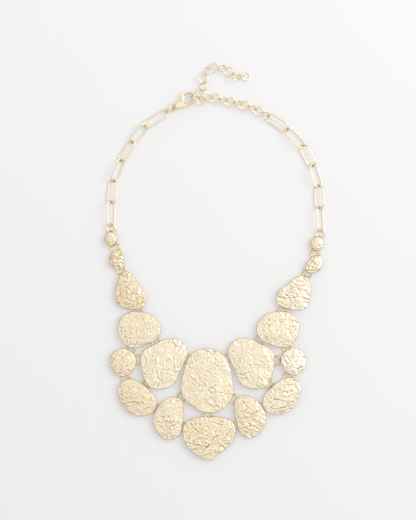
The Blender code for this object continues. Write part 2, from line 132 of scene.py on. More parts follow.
def tube(line, normal, across, along, sides=14):
    # closed tube: at each point of the closed flat line, an ellipse across (in plane) and along (normal)
    ahead = np.roll(line, -1, axis=0) - np.roll(line, 1, axis=0)
    ahead = ahead / np.linalg.norm(ahead, axis=1)[:, None]
    side = np.cross(normal, ahead)
    turns = np.linspace(0, fullCircle, sides, endpoint=False)[None, :, None]
    offset = side[:, None, :] * np.cos(turns) * across + normal * np.sin(turns) * along
    points = line[:, None, :] + offset
    return points.reshape(-1, 3), [gridFaces(len(line), sides, True, True)[:, ::-1]]


def sweep(path, normal, widths, heights, squareness, sides):
    # along an open path with closed ends: a superellipse of |cos|^squareness and |sin|^squareness
    ahead = np.gradient(path, axis=0)
    ahead = ahead / np.linalg.norm(ahead, axis=1)[:, None]
    side = np.cross(normal, ahead)
    side = side / np.linalg.norm(side, axis=1)[:, None]
    turns = np.linspace(0, fullCircle, sides, endpoint=False)
    wide, high = (np.sign(wave) * np.abs(wave) ** squareness for wave in (np.cos(turns), np.sin(turns)))
    widths = np.broadcast_to(widths, len(path))[:, None, None] / 2
    heights = np.broadcast_to(heights, len(path))[:, None, None] / 2
    offset = side[:, None, :] * wide[None, :, None] * widths
    body = path[:, None, :] + offset + normal * high[None, :, None] * heights
    points = np.concatenate([body.reshape(-1, 3), path[:1], path[-1:]])
    ring = np.arange(sides)
    count = len(path) * sides
    start = fanFaces(ring, count)[:, [0, 2, 1]]
    finish = fanFaces(ring + count - sides, count + 1)
    return points, [gridFaces(len(path), sides, False, True)[:, ::-1], start, finish]


def roundEnds(path, radius, widths, heights, steps=5):
    # path lengthened at both ends by a quarter circle's steps, with widths and heights that close in
    turn = np.linspace(0, math.pi / 2, steps + 1)[:-1]
    first, last = unit(path[0] - path[1]), unit(path[-1] - path[-2])
    start = path[0] + first * radius * np.cos(turn)[:, None]
    finish = path[-1] + last * radius * np.sin(turn)[1:][:, None]
    scale = np.concatenate([np.sin(turn) * 0.999 + 0.001, np.ones(len(path)), np.cos(turn)[1:]])
    widths, heights = (np.pad(size, (steps, steps - 1), mode="edge") * scale for size in (widths, heights))
    return np.concatenate([start, path, finish]), widths, heights


# noise on numpy grids

def cornerHash(i, j, seed):
    # mixes the lattice corner's integers into a number from 0 to 1
    h = i * 374761393 + j * 668265263 + seed * 974634777
    h = (h ^ (h >> 13)) * 1274126177
    h = h ^ (h >> 16)
    return (h & 0xFFFFF) / 0x100000


def slopeNoise(x, y, seed):
    # gradient noise: four corner slopes blended by 6t^5 - 15t^4 + 10t^3, about -1 to 1
    i, j = np.floor(x).astype(np.int64), np.floor(y).astype(np.int64)
    fx, fy = x - i, y - j
    wx = fx ** 3 * (fx * (fx * 6 - 15) + 10)
    wy = fy ** 3 * (fy * (fy * 6 - 15) + 10)

    def corner(di, dj):
        angle = cornerHash(i + di, j + dj, seed) * fullCircle
        return np.cos(angle) * (fx - di) + np.sin(angle) * (fy - dj)

    low = corner(0, 0) * (1 - wx) + corner(1, 0) * wx
    high = corner(0, 1) * (1 - wx) + corner(1, 1) * wx
    return (low * (1 - wy) + high * wy) * 1.45


def pitNoise(x, y, seed):
    # distance to the nearest of one random point per lattice cell, 0 at the point, about 1 far off
    i, j = np.floor(x).astype(np.int64), np.floor(y).astype(np.int64)
    best = np.full(np.shape(x), 9.0)
    for di in (-1, 0, 1):
        for dj in (-1, 0, 1):
            px = i + di + cornerHash(i + di, j + dj, seed)
            py = j + dj + cornerHash(i + di, j + dj, seed + 57)
            best = np.minimum(best, (px - x) ** 2 + (py - y) ** 2)
    return np.sqrt(best)


def smoothStep(low, high, value):
    t = np.clip((value - low) / (high - low), 0, 1)
    return t * t * (3 - 2 * t)


# shader sockets as Python expressions

class Sock:
    def __init__(self, shader, socket):
        self.shader = shader
        self.socket = socket

    def math(self, operation, first, second):
        return self.shader.node("ShaderNodeMath", {"operation": operation}, {0: first, 1: second})

    def __add__(self, other):
        return self.math("ADD", self, other)

    def __radd__(self, other):
        return self.math("ADD", other, self)

    def __sub__(self, other):
        return self.math("SUBTRACT", self, other)

    def __rsub__(self, other):
        return self.math("SUBTRACT", other, self)

    def __mul__(self, other):
        return self.math("MULTIPLY", self, other)

    def __rmul__(self, other):
        return self.math("MULTIPLY", other, self)

    def clamped(self):
        return self.shader.node("ShaderNodeClamp", values={0: self})


class Shader:
    # the nodes of a material or a world
    def __init__(self, owner, surface="Principled BSDF"):
        owner.use_nodes = True
        self.owner = owner
        self.tree = owner.node_tree
        self.surface = self.tree.nodes[surface]

    def fill(self, socket, value):
        if isinstance(value, Sock):
            self.tree.links.new(value.socket, socket)
        else:
            socket.default_value = (*value, 1) if socket.type == "RGBA" else value

    def feed(self, name, value):
        self.fill(self.surface.inputs[name], value)

    def node(self, kind, settings=None, values=None, output=0):
        # any node: its settings first, then the values or links of its sockets
        made = self.tree.nodes.new(kind)
        for key, value in (settings or {}).items():
            setattr(made, key, value)
        for key, value in (values or {}).items():
            self.fill(made.inputs[key], value)
        return Sock(self, made.outputs[output])

    def noise(self, place, scale, detail):
        return self.node("ShaderNodeTexNoise", values={"Vector": place, "Scale": scale, "Detail": detail})

    def along(self, place, way):
        return self.node("ShaderNodeVectorMath", {"operation": "DOT_PRODUCT"}, {0: place, 1: way}, 1)

    def mix(self, factor, first, second):
        # colour between first and second
        settings = {"data_type": "RGBA", "clamp_factor": True}
        return self.node("ShaderNodeMix", settings, {0: factor, 6: first, 7: second}, 2)

    def plate(self, colour, roughness, strength, distance, height):
        # plated metal with a fine bump of the given strength and distance
        self.feed("Base Color", colour)
        self.feed("Metallic", 1.0)
        self.feed("Roughness", roughness.clamped())
        bump = {"Strength": strength, "Distance": distance, "Height": height}
        self.feed("Normal", self.node("ShaderNodeBump", values=bump))
        return self.owner


# the ridge colour is a painted highlight and the valley colour is painted shade
nuggetFinish = {
    "ridgeHighlight": (0.94, 0.90, 0.80), "face": (0.775, 0.675, 0.485), "worn": (0.825, 0.74, 0.575),
    "valley": (0.62, 0.385, 0.125), "roughness": 0.22, "unevenPolish": 0.14,
    "grainScale": 2100.0, "grainTone": 0.15, "grainBump": 0.00004, "blotch": 170.0,
}


def makeNuggetGold():
    # pale plating, with painted shade and highlight from a per-point attribute: 0 on polished ridges, painted
    # near-white as a highlight, 0.4 on the faces, 1 in valleys, painted browner as shade; and the faces are
    # worn paler in blotches
    v = nuggetFinish
    s = Shader(bpy.data.materials.new("nuggetGold"))
    place = s.node("ShaderNodeTexCoord", output=3)
    paintedShade = s.node("ShaderNodeAttribute", {"attribute_name": "paintedShade"}, output=2)
    grain = s.noise(place, v["grainScale"], 3.0)
    blotch = s.noise(place, v["blotch"], 2.0)
    face = s.mix((blotch * 2.2 - 0.75).clamped(), v["face"], v["worn"])
    tone = (paintedShade + (grain - 0.5) * v["grainTone"]).clamped()
    # painted highlight on ridges, painted shade in valleys
    upper = s.mix((tone * 2.9).clamped(), v["ridgeHighlight"], face)
    colour = s.mix((tone * 1.6667 - 0.6667).clamped(), upper, v["valley"])
    polish = v["roughness"] + (blotch - 0.5) * v["unevenPolish"] + tone * v["unevenPolish"]
    return s.plate(colour, polish, 0.45, v["grainBump"], grain)


wireFinish = {
    # painted shade: the deeper gold where links cross and down the clasp's sides
    "shadedGold": (0.80, 0.56, 0.16), "cloudScale": 420.0, "markScale": 3200.0, "markBump": 0.00001,
    # plain colour, deeper colour and roughness
    # painted shade: the jump rings are a darker, browner gold, as they lie in shade between the nuggets
    "ringGold": ((0.84, 0.61, 0.29), (0.74, 0.49, 0.18), 0.2),
    "chainGold": ((0.95, 0.85, 0.66), (0.91, 0.75, 0.48), 0.2),
    "claspGold": ((0.88, 0.76, 0.54), (0.80, 0.63, 0.36), 0.18),
    "leverGold": ((0.96, 0.83, 0.56), (0.90, 0.70, 0.38), 0.2),
    "endGold": ((0.97, 0.90, 0.74), (0.92, 0.80, 0.56), 0.2),
}


def makeWireGold(name):
    # drawn and plated wire: slight colour and polish changes, fine drawing marks, and painted shade: deeper
    # gold where a per-point attribute marks where links cross and down the clasp's sides, hidden from the
    # light
    v = wireFinish
    plain, deep, roughness = v[name]
    s = Shader(bpy.data.materials.new(name))
    shadedGold = s.node("ShaderNodeAttribute", {"attribute_name": "paintedShade"}, output=2)
    place = s.node("ShaderNodeTexCoord", output=3)
    cloud = s.noise(place, v["cloudScale"], 3.0)
    marks = s.noise(place, v["markScale"], 2.0)
    colour = s.mix((cloud * 1.6 - 0.5).clamped(), plain, deep)
    polish = roughness + (cloud - 0.5) * 0.14
    return s.plate(s.mix(shadedGold, colour, v["shadedGold"]), polish, 0.3, v["markBump"], marks)


nuggetGold = makeNuggetGold()
ringGold = makeWireGold("ringGold")
chainGold = makeWireGold("chainGold")
claspGold = makeWireGold("claspGold")
leverGold = makeWireGold("leverGold")
endGold = makeWireGold("endGold")
print("finishes made")


# nuggets

bib = {
    "width": 123.0, "thickness": 1.3, "dome": 0.5, "back": 2.2, "rimRound": 0.3, "hollow": 0.2,
    "step": 0.178, "backStep": 3, "backInset": 0.75, "edgeWear": 0.08, "finer": 0.92, "bolder": 1.5,
    # painted shade: the edge and wall levels make a browner band along each nugget's edge and on its side
    # walls
    "cavity": 0.09, "edgeShade": 0.75, "wallShade": 0.72, "backTone": 0.45, "eyeTone": 0.4, "bevel": 0.1,
    # rings down the rim: inset in bevels, and height as a share
    "rimRings": ((-0.6, 0.78), (-1, 0.5), (-1, 0.26), (-0.3, 0.09), (2, 0.0)),
}

# at: middle as shares of the bib's width. grain: the wrinkles' direction in degrees. stretch: how much
# longer than wide they are. pitch and depth: of the wrinkles, mm. pits: share of hammered dents.
# then painted shade over the whole nugget: browner above 0, paler below 0 as a painted highlight. ragged:
# how uneven the edge is, mm. folds: fold lines as points in mm from the middle, and a depth
nuggets = {
    "left_bead": {
        "at": (-0.472, 0.100), "grain": 20, "stretch": 1.1, "pitch": 1.5, "depth": 0.12, "pits": 0.55,
        "tone": 0.13, "ragged": 0.1, "folds": (),
    },
    "left_nugget": {
        "at": (-0.445, 0.004), "grain": 8, "stretch": 1.4, "pitch": 1.6, "depth": 0.27, "pits": 0.5,
        "tone": 0.1, "ragged": 0.1, "folds": (
            (((-3.8, 1.8), (-2.2, 1.4), (-0.9, 1.9)), 0.16), (((-1, -1.6), (2.6, -1.2)), 0.14),
        ),
    },
    "left_teardrop": {
        "at": (-0.386, -0.139), "grain": -25, "stretch": 1.3, "pitch": 1.5, "depth": 0.15, "pits": 0.7,
        "tone": 0.12, "ragged": 0.12, "folds": (
            (((-3.5, -3.6), (0.2, -4.6), (3.4, -5.8)), 0.12), (((-7.5, 3.5), (-5.0, 3.8)), 0.12),
        ),
    },
    "left_oval": {
        "at": (-0.343, -0.311), "grain": 84, "stretch": 1.8, "pitch": 1.6, "depth": 0.13, "pits": 0.5,
        "tone": 0.02, "ragged": 0.08, "folds": (
            (((-8.2, 6.6), (-6.2, 6.3)), 0.12), (((-7.5, -4.0), (-5.4, -5.2)), 0.1),
        ),
    },
    "left_round": {
        "at": (-0.415, -0.460), "grain": 40, "stretch": 1.1, "pitch": 1.4, "depth": 0.13, "pits": 0.7,
        "tone": 0.06, "ragged": 0.06, "folds": (),
    },
    "left_shield": {
        "at": (-0.234, -0.466), "grain": 80, "stretch": 2.3, "pitch": 1.8, "depth": 0.165, "pits": 0.2,
        "tone": -0.06, "ragged": 0.06, "folds": (
            (((-4.6, -2.4), (-1.0, -3.3), (2.4, -3.2), (7.6, -4.6)), 0.12),
            (((-2.0, -4.6), (1.6, -5.6), (5.4, -6.4)), 0.1), (((-11, -5.2), (-7.4, -6.3)), 0.12),
            (((5.6, 11.2), (8.0, 9.4)), 0.16),
        ),
    },
    "left_bean": {
        "at": (-0.355, -0.620), "grain": -14, "stretch": 1.9, "pitch": 1.5, "depth": 0.135, "pits": 0.45,
        "tone": 0.08, "ragged": 0.08, "folds": (
            (((-5.5, -2.1), (-3.0, -2.9), (0.4, -2.5), (3.2, -3.0)), 0.2),
            (((-8.8, 1.6), (-6.8, 0.6)), 0.2), (((-8.6, -0.9), (-6.2, -1.5)), 0.18),
            (((-2.2, 6.6), (1.4, 5.6)), 0.12),
        ),
    },
    "left_pear": {
        "at": (-0.209, -0.711), "grain": 72, "stretch": 1.3, "pitch": 1.8, "depth": 0.16, "pits": 0.3,
        "tone": 0.02, "ragged": 0.06, "folds": (
            (((-6.2, -2.2), (-3.6, -2.6), (-1.0, -2.0), (2.8, -2.3)), 0.24),
            (((2.0, 8.2), (4.8, 7.4)), 0.16), (((-6.0, 0.9), (-2.8, 0.6), (0.8, 0.9)), 0.1),
            (((1.4, -4.6), (4.6, -5.4)), 0.12),
        ),
    },
    "centre_nugget": {
        "at": (-0.035, -0.546), "grain": 118, "stretch": 1.9, "pitch": 1.7, "depth": 0.15, "pits": 0.25,
        "tone": -0.02, "ragged": 0.06, "folds": (
            (((-2.6, 18.0), (-0.2, 17.2), (1.9, 15.4), (4.4, 16.4)), 0.22),
            (((-8.6, 2.2), (-6.2, 0.1)), 0.16), (((-7.6, 0.6), (-5.4, -1.0)), 0.14),
            (((6.6, -6.0), (9.6, -7.1)), 0.2), (((4.4, 0.2), (7.6, -3.8)), 0.14),
            (((0.3, -4.8), (2.2, -5.8)), 0.18), (((2.2, -13.0), (5.4, -13.9)), 0.18),
            (((-6.0, 12.4), (0.6, 13.2)), 0.12), (((-6.6, -7.4), (-6.1, -7.7)), 0.24),
        ),
    },
    "point_nugget": {
        "at": (-0.026, -0.799), "grain": 4, "stretch": 1.5, "pitch": 1.7, "depth": 0.17, "pits": 0.4,
        "tone": 0.05, "ragged": 0.1, "folds": (
            (((-12.8, -2.9), (-9.6, -4.1), (-5.6, -4.8), (-3.2, -6.1), (-0.6, -5.0), (2.0, -1.4),
              (4.4, 0.8)), 0.3),
            (((-1.6, -3.6), (-1.0, -4.0)), 0.28), (((5.0, 7.4), (7.6, 6.6)), 0.18),
            (((-10.4, 6.9), (-7.6, 7.3)), 0.16), (((-14.1, 3.3), (-11.4, 2.4)), 0.2),
            (((-4.8, 1.6), (-1.2, 1.2)), 0.16), (((7.2, -5.0), (8.4, -5.8)), 0.22),
            (((2.6, -8.9), (5.8, -8.2)), 0.22), (((-3.4, 11.0), (-2.6, 9.2)), 0.14),
        ),
    },
    "right_pear": {
        "at": (0.159, -0.702), "grain": -16, "stretch": 1.6, "pitch": 1.7, "depth": 0.19, "pits": 0.3,
        "tone": 0.05, "ragged": 0.06, "folds": (
            (((-3.4, -3.6), (-0.8, -4.2), (1.8, -6.0)), 0.22),
            (((-4.6, 2.6), (0.8, 1.4), (4.6, 2.0)), 0.12), (((-2.2, -0.6), (2.6, -2.4)), 0.14),
        ),
    },
    "right_bean": {
        "at": (0.306, -0.614), "grain": 24, "stretch": 1.6, "pitch": 1.8, "depth": 0.2, "pits": 0.15,
        "tone": -0.04, "ragged": 0.12, "folds": (
            (((1.6, 9.5), (5.0, 9.0), (8.2, 9.2)), 0.2),
            (((-4.0, 3.0), (-1.4, 3.8), (2.4, 2.2), (5.8, 3.2)), 0.16),
            (((-6.0, -2.4), (-2.0, -1.6), (2.2, -3.4), (6.0, -2.6)), 0.16),
        ),
    },
    "right_shield": {
        "at": (0.168, -0.465), "grain": 118, "stretch": 2.0, "pitch": 1.7, "depth": 0.155, "pits": 0.25,
        "tone": -0.03, "ragged": 0.06, "folds": (
            (((-8.2, -7.6), (-3.8, -8.3), (-0.6, -9.4)), 0.12), (((8.8, 1.0), (9.4, 0.4)), 0.2),
        ),
    },
    "right_round": {
        "at": (0.356, -0.456), "grain": -30, "stretch": 1.6, "pitch": 1.8, "depth": 0.23, "pits": 0.1,
        "tone": -0.14, "ragged": 0.55, "folds": (
            (((3.4, 5.0), (5.0, 2.0), (6.6, 2.2)), 0.2), (((2.0, -4.0), (6.6, -3.0)), 0.2),
        ),
    },
    "right_oval": {
        "at": (0.286, -0.310), "grain": 122, "stretch": 1.6, "pitch": 1.6, "depth": 0.155, "pits": 0.4,
        "tone": -0.03, "ragged": 0.08, "folds": (
            (((7.6, 5.0), (9.8, 4.4)), 0.22), (((8.2, 2.0), (10.4, 1.4)), 0.2),
            (((7.4, -2.2), (9.8, -3.0)), 0.2), (((-6.4, 5.6), (-4.6, 5.0)), 0.18),
            (((-6.6, -4.4), (-5.8, -5.6)), 0.14),
        ),
    },
    "right_teardrop": {
        "at": (0.367, -0.148), "grain": -22, "stretch": 1.8, "pitch": 1.7, "depth": 0.25, "pits": 0.15,
        "tone": -0.08, "ragged": 0.16, "folds": (
            (((-7.0, -0.6), (-2.6, -2.2), (3.0, -1.8), (7.0, -3.6)), 0.2),
            (((-2.6, 4.2), (2.4, 2.4), (6.0, 1.6)), 0.16),
        ),
    },
    "right_nugget": {
        "at": (0.452, -0.018), "grain": 14, "stretch": 1.4, "pitch": 1.6, "depth": 0.28, "pits": 0.3,
        "tone": 0.0, "ragged": 0.12, "folds": (
            (((-3.6, 1.6), (-1.4, 2.4), (0.8, 1.8)), 0.16), (((-0.6, -1.0), (3.0, 0.4)), 0.14),
        ),
    },
    "right_bead": {
        "at": (0.463, 0.078), "grain": 30, "stretch": 1.2, "pitch": 1.5, "depth": 0.13, "pits": 0.5,
        "tone": 0.15, "ragged": 0.1, "folds": (),
    },
}
middleRing = ("ring_centre_nugget_point_nugget", (-0.031, -0.697))   # tells how the solids were centred


def boxMiddle(node):
    low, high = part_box(node)
    return (np.array(low) + np.array(high)) / 2 / mm


tableShift = boxMiddle(middleRing[0])[:2] - np.array(middleRing[1]) * bib["width"]


def bibPoint(share):
    return np.array(share) * bib["width"] + tableShift


def rimCurve(node, middle):
    # reach from the middle at 1440 angles, from a closed curve through the solid's rim corners
    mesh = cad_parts[node].data
    corners = np.empty(len(mesh.vertices) * 3, dtype=np.float32)
    mesh.vertices.foreach_get("co", corners)
    corners = corners.reshape(-1, 3) / mm
    rimHeight = bib["back"] + 0.4 * bib["thickness"]
    rim = corners[np.abs(corners[:, 2] - rimHeight) < 0.01, :2] - middle
    rim = np.unique(np.round(rim, 3), axis=0)
    rim = rim[np.argsort(np.arctan2(rim[:, 1], rim[:, 0]))]
    curve = closedLine(rim, 90)
    angles = np.arctan2(curve[:, 1], curve[:, 0])
    reach = np.hypot(curve[:, 0], curve[:, 1])
    order = np.argsort(angles)
    even = np.linspace(-math.pi, math.pi, 1440, endpoint=False)
    return even, np.interp(even, angles[order], reach[order], period=fullCircle)


def softFold(noise):
    # rounded hills, with a narrow valley where the noise crosses zero; about -0.7 to 1
    return 2.3 * np.sqrt(noise * noise + 0.012) - 0.95


def crinkle(x, y, v, seed):
    # crumpled foil: hills of slope noise parted by narrow folds on a warped grid turned to the grain,
    # in three sizes, busy in some patches and calm in others, less hammered dents; about -1 to 1
    grain = math.radians(v["grain"])
    pitch = v["pitch"] * bib["finer"]
    along = (x * math.cos(grain) + y * math.sin(grain)) / (pitch * v["stretch"])
    across = (y * math.cos(grain) - x * math.sin(grain)) / pitch
    warpAlong = slopeNoise(along * 0.8, across * 0.5, seed + 3)
    warpAcross = slopeNoise(along * 0.7 + 9, across * 0.45, seed + 5)
    along = along + 0.5 * warpAlong
    across = across + 0.8 * warpAcross
    bold = softFold(slopeNoise(along * 0.62, across * 0.62, seed))
    medium = slopeNoise(along * 1.35 + 4, across * 1.25 + 7, seed + 11)
    fine = softFold(slopeNoise(along * 2.2, across * 1.9, seed + 17))
    busy = 0.62 + 0.38 * smoothStep(-0.5, 0.45, slopeNoise(x / 5.5, y / 5.5, seed + 29))
    pits = pitNoise(x / pitch * 0.8 + 0.55 * warpAlong, y / pitch * 0.8 + 0.55 * warpAcross, seed + 23)
    hammered = smoothStep(-0.35, 0.5, slopeNoise(x / 2.6 + 7, y / 2.6, seed + 27))
    dents = (smoothStep(0.0, 0.75, pits) - 1) * hammered
    ridges = (0.42 * bold + 0.52 * medium + 0.2 * fine) * busy
    return ridges * (1 - 0.3 * v["pits"]) + v["pits"] * (0.25 + 1.15 * dents)


def foldDepth(x, y, v, seed):
    # each fold: a valley exp(-(d/0.36)2) along its line with a lip on one side, d unsteady by noise
    depth = np.zeros_like(x)
    wobble = 0.7 * slopeNoise(x / 2.4, y / 2.4, seed + 61) + 0.4 * slopeNoise(x / 1.1, y / 1.1, seed + 67)
    strength = 0.5 + 0.6 * slopeNoise(x / 2.1 + 8, y / 2.1, seed + 69)
    for line, deep in v["folds"]:
        nearest = np.full(x.shape, 99.0)
        for (ax, ay), (bx, by) in zip(line, line[1:]):
            wayX, wayY = bx - ax, by - ay
            length2 = wayX * wayX + wayY * wayY
            t = np.clip(((x - ax) * wayX + (y - ay) * wayY) / length2, 0, 1)
            away = np.hypot(x - ax - t * wayX, y - ay - t * wayY)
            side = np.sign((x - ax) * wayY - (y - ay) * wayX)
            nearest = np.where(away < np.abs(nearest), away * np.where(side == 0, 1, side), nearest)
        d = nearest + wobble * (np.abs(nearest) < 6)
        depth += deep * (np.exp(-(d / 0.36) ** 2) - 0.6 * np.exp(-((d + 0.8) / 0.6) ** 2))
    return depth * strength * 1.3


def blurred(field, reach):
    # box mean over 2 reach + 1 rows and columns, edges repeated
    for axis in (0, 1):
        padded = np.concatenate([np.repeat(field.take([0], axis), reach + 1, axis), field,
                                 np.repeat(field.take([-1], axis), reach, axis)], axis=axis)
        total = np.cumsum(padded, axis=axis)
        size = field.shape[axis]
        width = 2 * reach + 1
        field = (total.take(range(width, width + size), axis) - total.take(range(size), axis)) / width
    return field


def discGrid(count):
    # square (a, b) to disc (a sqrt(1 - b2/2), b sqrt(1 - a2/2)), as distance and angle
    a, b = np.meshgrid(np.linspace(-1, 1, count), np.linspace(-1, 1, count), indexing="xy")
    discX, discY = a * np.sqrt(1 - b * b / 2), b * np.sqrt(1 - a * a / 2)
    return np.hypot(discX, discY), np.arctan2(discY, discX)


def edgeRing(count):
    # indices of a square grid's outer points, once around
    walk = np.arange(count - 1)
    return np.concatenate([
        walk, walk * count + count - 1, count * count - 1 - walk, (count - 1 - walk) * count])


def nuggetTop(v, seed, angles, reach, count):
    # disc grid stretched to the rim's reach, raised by dome (1 - share2), crinkle, folds and a wide
    # swell, and rounded at the rim. Painted shade: darker where a point lies under its surroundings and in a
    # band along the edge, plus each nugget's level; painted highlight: lighter on ridges and the rounded rim
    share, angle = discGrid(count)
    wear = slopeNoise(np.cos(angle) * 5 + seed, np.sin(angle) * 5, seed + 31)
    nicks = slopeNoise(np.cos(angle) * 14, np.sin(angle) * 14 + seed, seed + 37)
    wear = np.clip(0.5 + 0.5 * wear + 0.35 * nicks, 0, 1)
    edge = np.interp(angle, angles, reach, period=fullCircle)
    edge = edge - (bib["edgeWear"] + v["ragged"]) * wear - bib["bevel"]
    x, y = share * edge * np.cos(angle), share * edge * np.sin(angle)
    fromEdge = (1 - share) * edge
    swell = slopeNoise(x / 8 + 3, y / 8, seed + 41) * 0.9 + slopeNoise(x / 3.8, y / 3.8 + 5, seed + 43) * 0.45
    size = min(1.0, reach.max() / 13)
    relief = v["depth"] * bib["bolder"] * crinkle(x, y, v, seed) - foldDepth(x, y, v, seed)
    relief = (relief + 0.2 * size * swell) * smoothStep(-1.2, 0.4, fromEdge)
    rounded = np.clip(1 - fromEdge / bib["rimRound"], 0, 1)
    drop = bib["rimRound"] * (1 - np.sqrt(1 - rounded ** 2 * 0.94))
    z = bib["back"] + bib["thickness"] + bib["dome"] * (1 - share ** 2) + relief - drop
    cavity = blurred(blurred(z, 3), 3) - z
    # painted shade in hollows, painted highlight on ridges and the rounded rim
    paintedShade = np.clip(0.4 + 0.6 * cavity / bib["cavity"], 0, 1) * (1 - rounded) + 0.3 * rounded
    # painted shade in a band along the edge, and each nugget's own level of painted shade
    paintedShade = np.maximum(paintedShade, bib["edgeShade"] * smoothStep(0.45, 0.05, fromEdge)) + v["tone"]
    return np.stack([x, y, z], axis=-1).reshape(-1, 3), np.clip(paintedShade, 0, 1).ravel()


def nuggetBack(seed, angles, reach, count):
    # cast back: flat at its edge, slightly hollow and uneven inside
    share, angle = discGrid(count)
    edge = np.interp(angle, angles, reach, period=fullCircle) - bib["backInset"] - bib["edgeWear"]
    x, y = share * edge * np.cos(angle), share * edge * np.sin(angle)
    uneven = slopeNoise(x / 2.2, y / 2.2, seed + 71) + 0.5 * slopeNoise(x, y, seed + 73)
    hollow = smoothStep(0, 1.6, (1 - share) * edge)
    z = bib["back"] + hollow * (bib["hollow"] + 0.06 * uneven)
    return np.stack([x, y, z], axis=-1).reshape(-1, 3)


def nuggetSurface(node, v, seed):
    # top, rings down the rim, and a back on a grid backStep times coarser, as one closed surface
    middle = bibPoint(v["at"])
    angles, reach = rimCurve(node, middle)
    steps = bib["backStep"]
    coarse = int(2 * reach.max() / bib["step"] / steps) + 1
    count = coarse * steps + 1
    top, paintedShade = nuggetTop(v, seed, angles, reach, count)
    back = nuggetBack(seed, angles, reach, coarse + 1)
    ring = edgeRing(count)
    outward = top[ring, :2] / np.linalg.norm(top[ring, :2], axis=1)[:, None]
    rimPoints, rings = [], [ring]
    for inset, height in bib["rimRings"]:
        loop = top[ring]
        loop[:, :2] -= outward * inset * bib["bevel"]
        loop[:, 2] = bib["back"] + (loop[:, 2] - bib["back"]) * height
        rings.append(len(top) + len(rimPoints) * len(ring) + np.arange(len(ring)))
        rimPoints.append(loop)
    backStart = len(top) + len(ring) * len(rimPoints)
    backRing = backStart + edgeRing(coarse + 1)
    faces = [gridFaces(count, count)[:, ::-1]]
    for upper, lower in zip(rings, rings[1:]):
        faces.append(np.stack([upper, lower, np.roll(lower, -1), np.roll(upper, -1)], axis=-1))
    lastRing = [np.roll(rings[-1], -k)[::steps] for k in range(steps + 1)]
    faces.append(np.stack([np.roll(backRing, -1), backRing] + lastRing, axis=-1)[:, ::-1])
    faces.append(gridFaces(coarse + 1, coarse + 1, start=backStart))
    # painted shade on the side walls
    rimShade = np.full(len(ring) * len(rimPoints), bib["wallShade"])
    paintedShades = np.concatenate([paintedShade, rimShade, np.full(len(back), bib["backTone"])])
    points = np.concatenate([top, *rimPoints, back])
    points[:, :2] += middle
    return points, faces, paintedShades


eye = {
    "wire": 0.9, "clear": 0.3, "leg": 0.6, "width": 1.2, "foot": 0.6, "radius": 2.45, "corner": 0.34,
    "sunk": 0.45, "knee": 1.4, "squareness": 0.6,
}


def eyeStaple(place, towards):
    # staple behind a nugget: legs down, flat foot on the table, corners rounded by quarter circles
    half = eye["wire"] / 2 + eye["clear"] + eye["leg"] / 2
    top, knee, foot, corner = bib["back"] + eye["sunk"], eye["knee"], eye["foot"] / 2, eye["corner"]
    bend = np.linspace(0, math.pi / 2, 6)
    left = np.stack([-half + corner * (1 - np.cos(bend)), foot + corner * (1 - np.sin(bend))], axis=-1)
    right = left[::-1] * [-1, 1]
    flat = np.concatenate([[[-half, top], [-half, knee]], left, right, [[half, knee], [half, top]]])
    way = np.array([towards[0], towards[1], 0.0])
    path = np.array([place[0], place[1], 0.0]) + flat[:, :1] * way + flat[:, 1:] * upright
    return sweep(path, np.cross(upright, way), eye["leg"] * 0.98, eye["width"], eye["squareness"], 12)


# each jump ring joins two nuggets: its node, its middle and the way from the first nugget to the second

pairs = []
eyes = {node: [] for node in nuggets}
for first in nuggets:
    for second in nuggets:
        node = "ring_" + first + "_" + second
        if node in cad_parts:
            middle = boxMiddle(node)
            towards = unit(bibPoint(nuggets[second]["at"]) - bibPoint(nuggets[first]["at"]))
            pairs.append((node, middle, towards))
            eyes[first].append((middle[:2] - towards * eye["radius"], towards))
            eyes[second].append((middle[:2] + towards * eye["radius"], towards))


# chains, in mm before the shift to the table's middle

chain = {
    "linkWidth": 5.0, "linkWire": 1.0, "linkBite": 0.16, "linksArc": 26, "ringRadius": 2.45, "ringWire": 0.9,
    "extenderRadius": 2.45, "extenderWire": 0.85, "extenderBite": 0.1, "extenderTilt": 44.0,
    "tailLinkRadius": 1.5, "tailLinkWire": 0.7, "tailLinkTilt": 58.0, "tailLinkDrop": 0.5,
    "endRadius": 2.3, "endWire": 1.0, "endSlope": 0.22, "looseGap": 0.25, "hookTilt": 60.0,
    "ringHeight": 1.35, "wornTilt": 8, "tailTilt": 12, "slit": 0.05,
}
clasp = {
    "length": 15.8, "turn": 22.9, "place": (-24.5, 85.1), "eyeMiddle": (0.105, 0.0), "eyeHole": 0.073,
    "pivot": (0.44, -0.02), "hooked": (0.932, 0.045), "hookedTurn": -8.0,
}
topRings = {"left": (-0.471, 0.151), "right": (0.482, 0.124)}
leftRoute = ((-39.0, 75.5), (-46.2, 66.6), (-52.4, 56.3), (-56.6, 44.8), (-58.0, 33.0))
rightRoute = ((40.4, 73.5), (49.3, 64.2), (54.8, 53.4), (58.1, 41.8), (58.4, 29.8))
rightStart = (30.0, 80.7)
leftTilts = (25, -32, 32, -40, 27, -36)
rightTilts = (24, -24, 22, -30, 29, -46)
wornRoute = ((-2.2, 91.2), (5.7, 89.5), (13.6, 87.8), (21.4, 85.2))
tailRoute = (
    (-6.4, 98.0), (-6.1, 103.3), (-3.2, 107.0), (1.0, 108.2), (5.4, 107.6), (8.8, 105.0), (11.6, 103.0),
)
endRingPlace = (17.4, 103.5)
wornLeaves, wornWay = -20.0, (0.82, -0.38, -0.42)     # degrees around the hooked ring, and direction
tailLeaves, tailWay = 35.0, (0.5, 0.84, 0.2)


def flat3(point, height=0.0):
    return np.array([point[0], point[1], height], dtype=float)


def tiltedFrame(along, tilt):
    along = unit(along)
    level = unit([-along[1], along[0], 0])
    raised = np.cross(along, level)
    across = level * math.cos(math.radians(tilt)) + raised * math.sin(math.radians(tilt))
    return along, across, np.cross(along, across)


